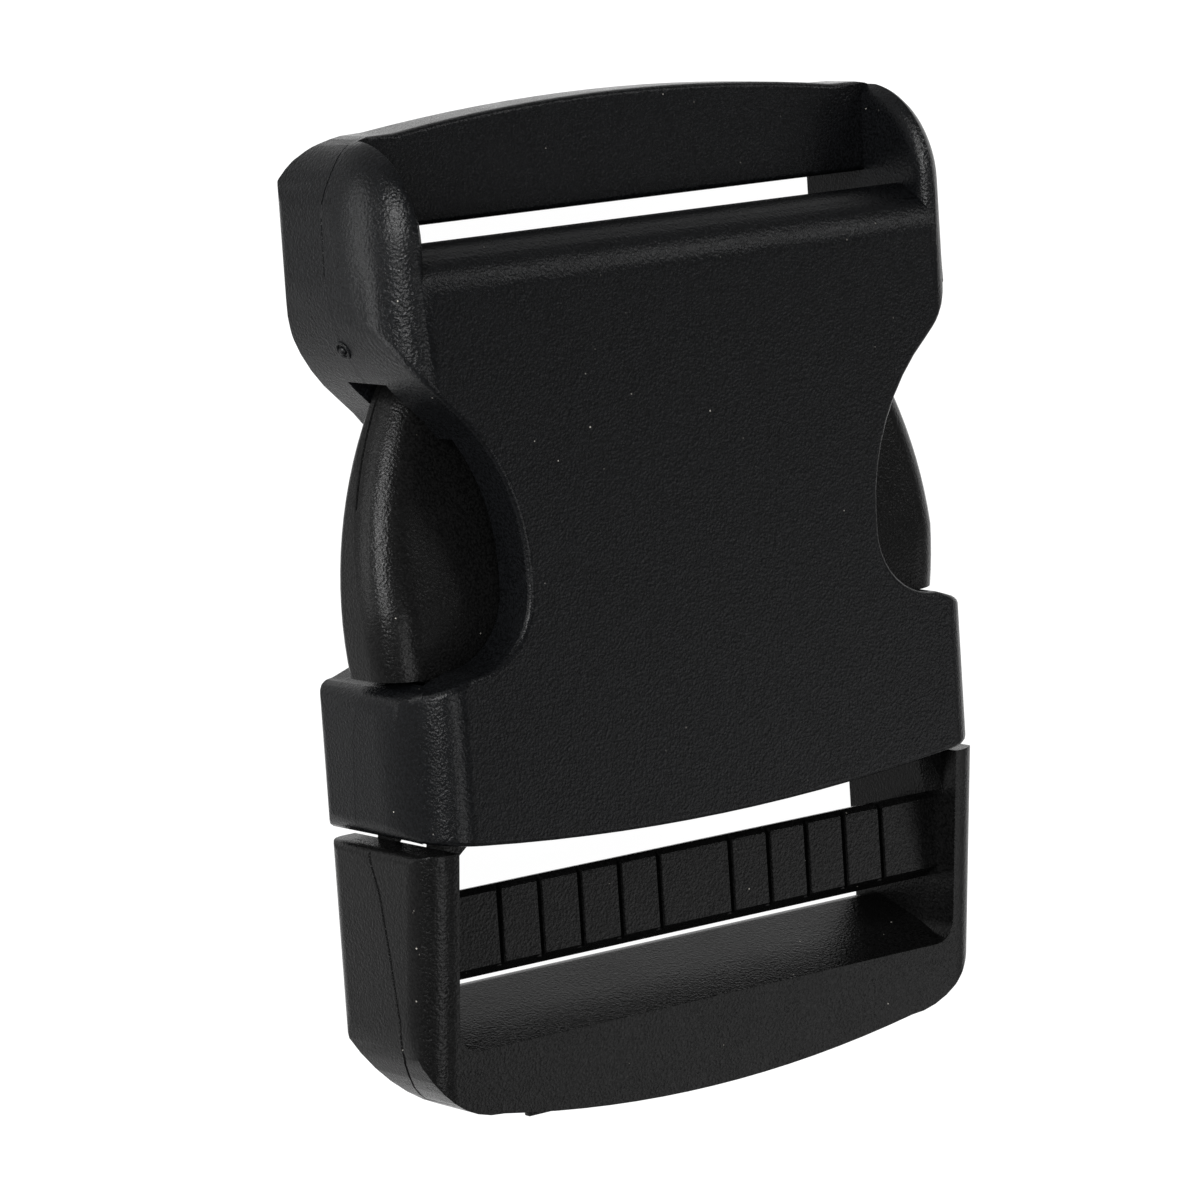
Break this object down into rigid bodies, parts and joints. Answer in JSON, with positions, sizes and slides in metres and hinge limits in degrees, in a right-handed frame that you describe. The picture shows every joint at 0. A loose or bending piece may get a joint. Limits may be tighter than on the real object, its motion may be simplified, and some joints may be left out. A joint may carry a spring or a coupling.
{
  "type": "side release buckle",
  "caption": "Side release buckle for 50 mm webbing, fastened: a socket with a sewn-strap bar holds a two-pronged plug with a ribbed grip bar for the adjustable strap.",
  "frame": {"origin": "middle of the back face, on the surface that the buckle lies on", "axes": "+X across the webbing, +Y along the webbing from the plug to the socket's strap bar, +Z out of the front face"},
  "size_m": [0.059, 0.0832, 0.016],
  "materials": {
    "socket": "fine grained moulded acetal, black, with a soft sheen",
    "plug": "fine grained moulded acetal, black, with a soft sheen"
  },
  "bodies": {
    "root": {"socket": "socket", "plug": "plug"}
  },
  "joints": []
}
